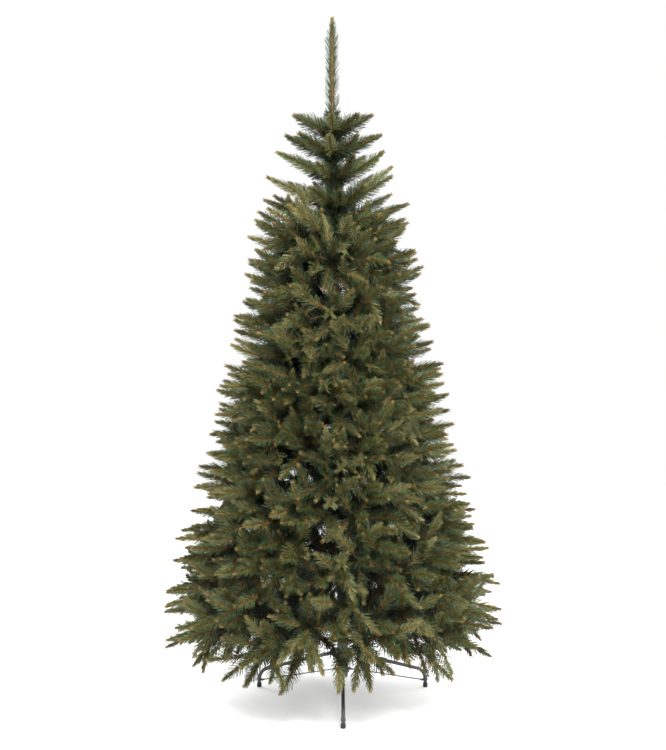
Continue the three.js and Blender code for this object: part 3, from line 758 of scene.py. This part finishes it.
def tier_of(number, tier):
    """A tier's branches, grown as in the frame and carried on to all their tips."""
    dice = random.Random(100 + number)
    stem_tips = LOW_STEM_TIPS if number >= len(TIERS) - 1 else STEM_TIPS
    tips, inner, clad, wires = [], [], [], []
    for index in range(tier.branches):
        root, crotch, ends = grow(tier, index)
        wires.append(wire(root, crotch, STEM_TAPER))
        inner += finer(root, crotch, stem_tips, dice)
        stem = crotch - root
        clad.append(Spray(root + stem * 0.12, stem.normalized(), stem.length * 0.9, 0))
        others = [second(tier, at, up, dice) for at, _ in ends for up in SECOND_SIDES]
        for at, sprays in ends + others:
            tips += sprays
            clad.append(limb(crotch, at))
            wires.append(wire(crotch, at, TWIG_TAPER))
        for at, _ in ends:
            inner += finer(crotch, at, TWIG_TIPS, dice)
            if tier is TIERS[-1]:
                tips += hanging(crotch, at, dice)
    for spray in tips + inner:
        spray.bend(dice)
    name = f"tier_{number}"

    def dress(part, sprays, seed, films, sizes, replaced=(), stop_short=8.0):
        mesh = lines(name + part, sprays, stop_short)
        settle(wound(name + part, mesh, number * 10 + seed, films, **sizes), replaced)

    nodes = [f"{name}_branch_{index + 1}" for index in range(tier.branches)]
    dress("_needles", tips, 0, GREENS, LONG, nodes)
    dress("_spine_needles", tips, 1, BROWNS, SHORT)
    # Painted shade: the inner tips and the needles wound on stems and twigs take the darker films.
    dress("_inner_needles", inner, 2, INNER_SHADE_GREENS, INNER_LONG)
    dress("_inner_spine_needles", inner, 3, BROWNS, INNER_SHORT)
    dress("_twig_needles", clad, 4, INNER_SHADE_GREENS, TWIG_LONG, stop_short=0.0)
    settle(tubes(name + "_wires", wires, WIRE, 0))
    settle(tubes(name + "_spines", [spine(spray) for spray in tips + inner], SPINE_WIRE, 0))


# ---------------------------------------------------------------- whorls, upper winding and leader

# Which way the needles in each layer of the leader point, in degrees.
LEADER_ROWS = [quarter + aside for quarter in (45, 135, 225, 315) for aside in (-17, 17)]


def whorls():
    """The tips that grow straight from the upper pole."""
    dice = random.Random(77)
    tips = []
    for root, wanted in WHORLS:
        for azimuth, out, rise in wanted:
            start = Vector((pole_x(root), 0, root))
            line = polar(out, azimuth, root + rise) - start
            spray = Spray(start, line.normalized(), line.length)
            spray.bend(dice)
            tips.append(spray)
    mesh = lines("whorls", tips)
    nodes = [f"whorl_{number + 1}" for number in range(len(WHORLS))]
    settle(wound("whorl_needles", mesh, 7, GREENS, **WHORL_LONG), nodes)
    settle(wound("whorl_spine_needles", mesh, 8, BROWNS, **WHORL_SHORT))
    settle(tubes("whorl_spines", [spine(spray, 2.0) for spray in tips], SPINE_WIRE, 0))


def winding():
    """The needles wound on the upper pole itself."""
    low, high = WOUND_FROM, POLE_TOP + 6
    upper_pole = limb(Vector((pole_x(low), 0, low)), Vector((pole_x(high), 0, high)), 0.95)
    settle(wound("pole_winding", lines("winding", [upper_pole], 0), 9, GREENS, **WINDING))


def leader():
    """The straight upright tip, with its needles in layers."""
    foot = Vector((0, 0, POLE_TOP + 1))
    spray = Spray(foot, Vector((0, 0, 1)), LEADER_TOP - foot.z, 0)
    layers = lines("leader_layers", [spray], 6, LEADER_ROWS)
    settle(wound("leader_needles", layers, 3, GREENS, **LEADER_LONG), ["leader"])
    settle(wound("leader_spine_needles", lines("leader", [spray], 6), 4, BROWNS, **LEADER_SHORT))
    thick_wire = [(foot, 3.8), (spray.point(0.6), 3.4), (spray.point(0.96), 1.3)]
    settle(tubes("leader_spine", [thick_wire], SPINE_WIRE))


# ---------------------------------------------------------------- pole and stand

STAND = Matrix.Translation((STAND_X, 0, 0))
ROUND = 32


def circle(r, z, x=0, sides=ROUND):
    """Points round an upright that stands at x."""
    turns = (math.tau * i / sides for i in range(sides))
    return [Vector((x + r * math.cos(turn), r * math.sin(turn), z)) for turn in turns]


def rolled(low, high, inner, outer, roll=0.35):
    """The section of a pipe's wall, with a rim rolled a little proud at both ends."""
    middle, half = (inner + outer) / 2, (outer - inner) / 2
    rim = half + roll
    steps = 8
    top = [(math.pi * i / steps, high - rim) for i in range(steps + 1)]
    bottom = [(math.pi * (1 + i / steps), low + rim) for i in range(steps + 1)]
    over, under = ([(middle + rim * math.cos(turn), z + rim * math.sin(turn)) for turn, z in end]
                   for end in (top, bottom))
    inside = [(middle - half, high - 2 * rim), (middle - half, low + 2 * rim)]
    outside = [(middle + half, low + 2 * rim), (middle + half, high - 2 * rim)]
    return over + inside + under + outside


def plate(length, height, thick, corner, soft=0.4, sides=24):
    """Rings of a plate that stands along X and Z, with round corners and softened edges."""
    rings = []
    for y, inset in ((-0.5, soft), (-0.5, 0), (0.5, 0), (0.5, soft)):
        ring = []
        for step in range(sides):
            turn = math.tau * (step + 0.5) / sides
            x, z = math.cos(turn), math.sin(turn)
            ring.append(Vector((
                math.copysign(length / 2 - corner, x) + (corner - inset) * x,
                y * thick + math.copysign(soft, -y) * (inset == 0),
                math.copysign(height / 2 - corner, z) + (corner - inset) * z,
            )))
        rings.append(ring)
    return rings


def swept(path, sizes, sides=20):
    """Rings along a path of X and Z; a size is half a width along Y, half a height, and how square it is."""
    rings = []
    for i, ((x, z), (wide, high, square)) in enumerate(zip(path, sizes)):
        before, after = Vector(path[max(i - 1, 0)]), Vector(path[min(i + 1, len(path) - 1)])
        ahead = (after - before).normalized()
        ring = []
        for step in range(sides):
            turn = math.tau * step / sides
            y, up = (math.copysign(abs(part) ** (1 - 0.5 * square), part)
                     for part in (math.cos(turn), math.sin(turn)))
            ring.append(Vector((x - ahead.y * up * high, y * wide, z + ahead.x * up * high)))
        rings.append(ring)
    return rings


def skin(name, forms, material):
    """One piece from its forms: rings of points, where they stand, and whether they close on themselves."""
    shell = bmesh.new()
    for rings, place, loop in forms:
        rows = [[shell.verts.new((place @ point) * MM) for point in ring] for ring in rings]
        pairs = list(zip(rows, rows[1:]))
        if loop:
            pairs.append((rows[-1], rows[0]))
        else:
            shell.faces.new(rows[0])
            shell.faces.new(rows[-1])
        for row, above in pairs:
            for i, corner in enumerate(row):
                j = (i + 1) % len(row)
                shell.faces.new((corner, row[j], above[j], above[i]))
    bmesh.ops.recalc_face_normals(shell, faces=shell.faces)
    mesh = bpy.data.meshes.new(name)
    shell.to_mesh(mesh)
    shell.free()
    mesh.shade_smooth()
    mesh.set_sharp_from_angle(angle=math.radians(50))
    mesh.materials.append(material)
    piece = bpy.data.objects.new(name, mesh)
    bpy.context.scene.collection.objects.link(piece)
    return piece


RIVET_HEAD = {"Radius": 0.0029, "Height": 0.0014}
RIVETED = []  # where each rivet head sits and which way it faces, in millimetres


def rivet(place, x, z, aside):
    """A rivet through a joint of the stand, with a head on both sides of it."""
    for side in (1, -1):
        RIVETED.append((place @ Vector((x, side * aside, z)), place.to_3x3() @ Vector((0, side, 0))))


def pole():
    """The pole's three sections, with a groove and a rim where each is pushed into the next."""
    foot_r, top_r = pole_r(POLE_FOOT), pole_r(POLE_TOP)
    profile = [(POLE_FOOT, foot_r - 0.8), (POLE_FOOT + 0.8, foot_r)]
    for joint, r in POLE_JOINTS:
        profile += [(joint + up, r + proud) for up, proud in POLE_JOINT]
        profile.append((joint + 0.1, pole_r(joint + 1)))
    profile += [(POLE_TOP - 1, top_r), (POLE_TOP, top_r - 0.8)]
    rings = [circle(r, z, pole_x(z)) for z, r in profile]
    settle(skin("leaning_pole", [(rings, Matrix(), False)], POLE_PAINT), ["pole"])


def upright():
    """The tube that the pole stands in, and the hub and collar round it."""
    def ring(size):
        """A closed ring round the stand's upright, as a form."""
        return [circle(r, z) for r, z in rolled(**size)], STAND, True

    settle(skin("upright_tube", [ring(TUBE)], STAND_PAINT), ["stand_tube"])
    hub, collar = [ring(HUB)], [ring(COLLAR)]
    for azimuth in LEGS.values():
        place = STAND @ Matrix.Rotation(math.radians(azimuth), 4, "Z")
        for side in (1, -1):
            cheek = place @ Matrix.Translation((CHEEK_MIDDLE, side * CHEEK_ASIDE, PIVOT[1]))
            hub.append((plate(**CHEEK), cheek, False))
            ear = place @ Matrix.Translation((EAR_MIDDLE, side * EAR_ASIDE, BRACE_INNER[1]))
            collar.append((plate(**EAR), ear, False))
        pivot = place @ Matrix.Translation((PIVOT[0], 0, PIVOT[1]))
        across_leg = pivot @ Matrix.Rotation(math.pi / 2, 4, "X")
        span = CHEEK_ASIDE + CHEEK["thick"] / 2
        hub.append(([circle(PIN_R, z) for z in (-span, span)], across_leg, False))
        rivet(place, *PIVOT, span)
        rivet(place, *BRACE_INNER, EAR_ASIDE + EAR["thick"] / 2)
    settle(skin("hub_with_cheeks", hub, STAND_PAINT), ["stand_hub"])
    settle(skin("collar_with_ears", collar, STAND_PAINT), ["stand_collar"])


def flattened(radius, end, flat, past):
    """Half a tube's width and half its height, flattened by a share of the way to the shape of its end.

    Past the middle of the end, where past is below 0, the height rounds off.
    """
    wide = radius + (end["half_width"] - radius) * flat
    high = radius + (end["half_height"] - radius) * flat
    return wide, high * math.sqrt(1 - (min(past, 0) / end["behind"]) ** 2)


def leg(side, place):
    """A leg: its flat eye round the pivot, its straight run and the bend down to its foot."""
    start, bend = Vector(PIVOT), Vector(LEG_BEND)
    down = (bend - start).normalized()
    run = (bend - start).length
    path, sizes = [], []
    # Steps from the pivot, close together where the section changes.
    for s in (-6.9, -6.5, -5.6, -4, -2, 0, 6, 12, 17, 20, 23, 26, 29, 32, 36, 42, 60, 90, 120, 150, 180, run):
        path.append(start + down * s)
        flat = 1 - blend(s, EYE["ahead"], EYE["ahead"] + 20)
        sizes.append((*flattened(LEG_R, EYE, flat, s), 0.8 * flat))
    top = Vector((FOOT_X, FOOT_Z + FOOT_RISE))
    curve = interpolate_bezier(bend, bend + down * LEG_PULL, top + Vector((0, LEG_PULL)), top, 13)[1:]
    path += [Vector(point[:2]) for point in curve] + [Vector((FOOT_X, FOOT_Z))]
    sizes += [(LEG_R, LEG_R, 0)] * (len(path) - len(sizes))
    bent = skin("bent_leg_" + side, [(swept(path, sizes), place, False)], STAND_PAINT)
    settle(bent, ["leg_" + side])


def foot_cap(side, place):
    """The rubber cap on a leg's foot."""
    rings = [circle(r, z, FOOT_X) for r, z in CAP_OUTLINE]
    cap = skin("ribbed_foot_cap_" + side, [(rings, place, False)], CAP_RUBBER)
    settle(cap, ["foot_cap_" + side])


def brace(side, place):
    """A rod with flattened ends, and the clip round the leg that its outer end is riveted to."""
    start, end = Vector(BRACE_INNER), Vector(BRACE_OUTER)
    along = (end - start).normalized()
    length = (end - start).length
    path, sizes = [], []
    end_steps = (12, 9, 7, 5, 3, 0, -1, -2, -2.4)  # how far from an end, or past it
    for s in (*reversed(end_steps), 40, 120, 200, *(length - step for step in end_steps)):
        path.append(start + along * s)
        past = min(s, length - s)
        flat = 1 - blend(past, 4, 11)
        sizes.append((*flattened(BRACE_R, BRACE_END, flat, past), 0.5 * flat))
    clip = [circle(r, z, FOOT_X) for r, z in rolled(**CLIP, roll=0)]
    tab = plate(**TAB), place @ Matrix.Translation((FOOT_X - TAB_INWARDS, 0, BRACE_OUTER[1])), False
    forms = [(swept(path, sizes, 14), place, False), (clip, place, True), tab]
    settle(skin("brace_rod_" + side, forms, STAND_PAINT), ["brace_" + side])
    rivet(place, *BRACE_OUTER, TAB["thick"] / 2)


RIVET_INPUTS = [
    ("Geometry", "NodeSocketGeometry"),
    ("Radius", "NodeSocketFloat"),
    ("Height", "NodeSocketFloat"),
    ("Material", "NodeSocketMaterial"),
]


def rivet_tree():
    """A domed head on each point of a mesh, facing the way that its point does."""
    tree = Tree("rivet heads", RIVET_INPUTS)
    dome = tree.node("GeometryNodeMeshUVSphere", {"Segments": 20, "Rings": 10, "Radius": 1.0})["Mesh"]
    outward = tree.stored("face", "FLOAT_VECTOR")
    facing = tree.node("FunctionNodeAlignRotationToVector", {"Vector": outward}, axis="Z")[0]
    radius = tree.given["Radius"]
    scale = tree.node("ShaderNodeCombineXYZ", {"X": radius, "Y": radius, "Z": tree.given["Height"]})[0]
    points = tree.node("GeometryNodeMeshToPoints", {"Mesh": tree.given["Geometry"]})["Points"]
    made = tree.placed(points, dome, facing, scale)
    made = tree.node("GeometryNodeSetShadeSmooth", {"Geometry": made})["Geometry"]
    return tree.end(tree.painted(made, "Material"))


def rivets():
    """The heads of all the rivets, as one piece."""
    mesh = bpy.data.meshes.new("rivets")
    mesh.from_pydata([place * MM for place, _ in RIVETED], [], [])
    mesh.attributes.new("face", "FLOAT_VECTOR", "POINT").data.foreach_set(
        "vector", [value for _, face in RIVETED for value in face])
    settle(grown("rivet_heads", mesh, rivet_tree(), {**RIVET_HEAD, "Material": RIVET}))


def stand():
    """The folding stand, set up."""
    upright()
    for side, azimuth in LEGS.items():
        place = STAND @ Matrix.Rotation(math.radians(azimuth), 4, "Z")
        leg(side, place)
        foot_cap(side, place)
        brace(side, place)
    rivets()


# ---------------------------------------------------------------- camera, floor and light


# Name, place and size in metres, power in watts; each lamp aims at the middle of the tree.
LAMPS = [
    ("key", (0.5, -3.1, 3.7), 1.8, 350),
    ("side", (2.8, -3.0, 2.2), 1.6, 90),
    ("fill", (-3.0, -3.0, 2.0), 2.5, 45),
    ("right_rim", (3.2, 2.0, 3.4), 2.4, 125),
    ("left_rim", (-2.6, 3.0, 3.5), 2.4, 180),
]
LIT = Vector((0, 0, 0.9))


def studio():
    """A pale floor and soft white light."""
    scene = bpy.context.scene
    camera = bpy.data.objects.new("camera", bpy.data.cameras.new("camera"))
    camera.data.sensor_width = 36
    camera.data.lens = 76.64
    camera.location = (0.0024, -4.2, 1.155)
    camera.rotation_euler = (math.radians(90 - 3.88), 0, 0)
    scene.collection.objects.link(camera)
    scene.camera = camera

    bpy.ops.mesh.primitive_circle_add(vertices=128, radius=4.5, fill_type="NGON", location=(0, 0, -0.0005))
    floor = bpy.context.object
    floor.name = "floor"
    floor.data.materials.append(FLOOR)
    shader = FLOOR.node_tree.nodes["Principled BSDF"]
    shader.inputs["Emission Color"].default_value = (1, 1, 1, 1)
    shader.inputs["Emission Strength"].default_value = 0.27

    world = bpy.data.worlds.new("studio")
    world.use_nodes = True
    world.node_tree.nodes["Background"].inputs["Color"].default_value = (1, 1, 1, 1)
    world.node_tree.nodes["Background"].inputs["Strength"].default_value = 1.0
    scene.world = world
    scene.view_settings.view_transform = "Standard"

    for name, place, size, power in LAMPS:
        light = bpy.data.lights.new(name, "AREA")
        light.size = size
        light.energy = power
        lamp = bpy.data.objects.new(name, light)
        lamp.location = place
        lamp.rotation_euler = (LIT - Vector(place)).to_track_quat("-Z", "Y").to_euler()
        scene.collection.objects.link(lamp)


studio()
for number, tier in enumerate(TIERS, 1):
    tier_of(number, tier)
whorls()
winding()
leader()
pole()
stand()
bpy.data.objects.remove(NEEDLE)
